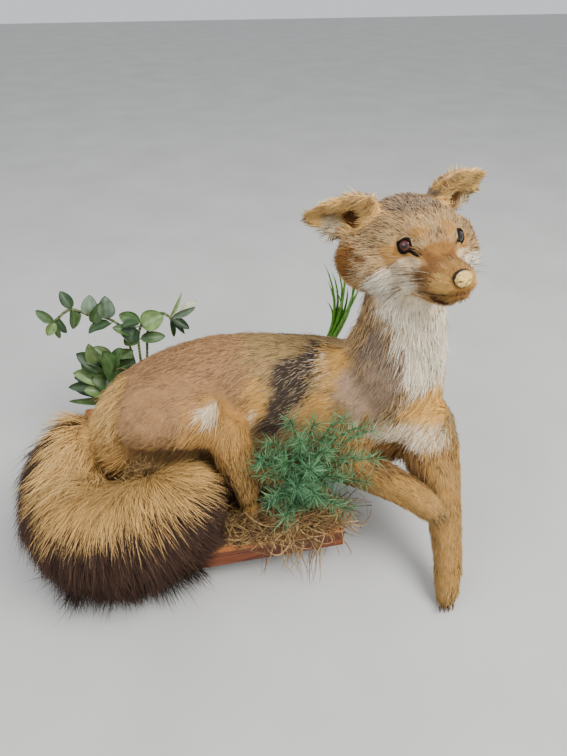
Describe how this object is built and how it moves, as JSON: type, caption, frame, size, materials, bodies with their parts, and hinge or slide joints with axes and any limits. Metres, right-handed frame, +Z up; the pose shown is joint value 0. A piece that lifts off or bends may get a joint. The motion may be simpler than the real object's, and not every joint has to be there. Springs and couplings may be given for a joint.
{
  "type": "taxidermy fox mount",
  "caption": "Old taxidermy mount of a small grey fox lying alert on a stained board, tail wrapped round its haunch, with dried grass, a plastic fern and eucalyptus.",
  "frame": {"origin": "middle of the underside of the plinth, on the surface that the mount stands on", "axes": "+X along the board from rump to chest, -Y to the front that the fox's face is turned to, +Z up"},
  "size_m": [0.4635, 0.31, 0.3586],
  "materials": {
    "coat": "dry, faded fox fur over tanned skin, tan, grizzled grey and white",
    "board_wood": "red-brown stained softwood, worn and dusty",
    "plinth_wood": "dark unfinished cleat block",
    "nose_filler": "bare cream modelling filler with chipped dark paint round its rim",
    "glass_eye": "glossy red-brown glass eye with a dark pupil",
    "dry_straw": "dry tangled grass stems",
    "fern_green": "soft blue-green moulded plastic fern",
    "blade_green": "green plastic grass blades",
    "eucalyptus_green": "printed cloth and plastic eucalyptus leaves, olive to grey green"
  },
  "bodies": {
    "root": {"trunk": "coat", "neck": "coat", "head": "coat", "lower_jaw": "coat", "ear_left": "coat", "ear_right": "coat", "tail_base": "coat", "tail_middle": "coat", "tail_tip": "coat", "thigh_right": "coat", "hind_foot_right": "coat", "thigh_left": "coat", "hind_foot_left": "coat", "foreleg_left": "coat", "foreleg_right": "coat", "upper_foreleg_right": "coat", "board": "board_wood", "plinth": "plinth_wood", "nose_pad": "nose_filler", "eye_left": "glass_eye", "eye_right": "glass_eye", "dried_grass": "dry_straw", "fern": "fern_green", "grass_blades": "blade_green", "eucalyptus_left": "eucalyptus_green", "eucalyptus_middle": "eucalyptus_green", "eucalyptus_right": "eucalyptus_green", "eucalyptus_low": "eucalyptus_green"}
  },
  "joints": []
}
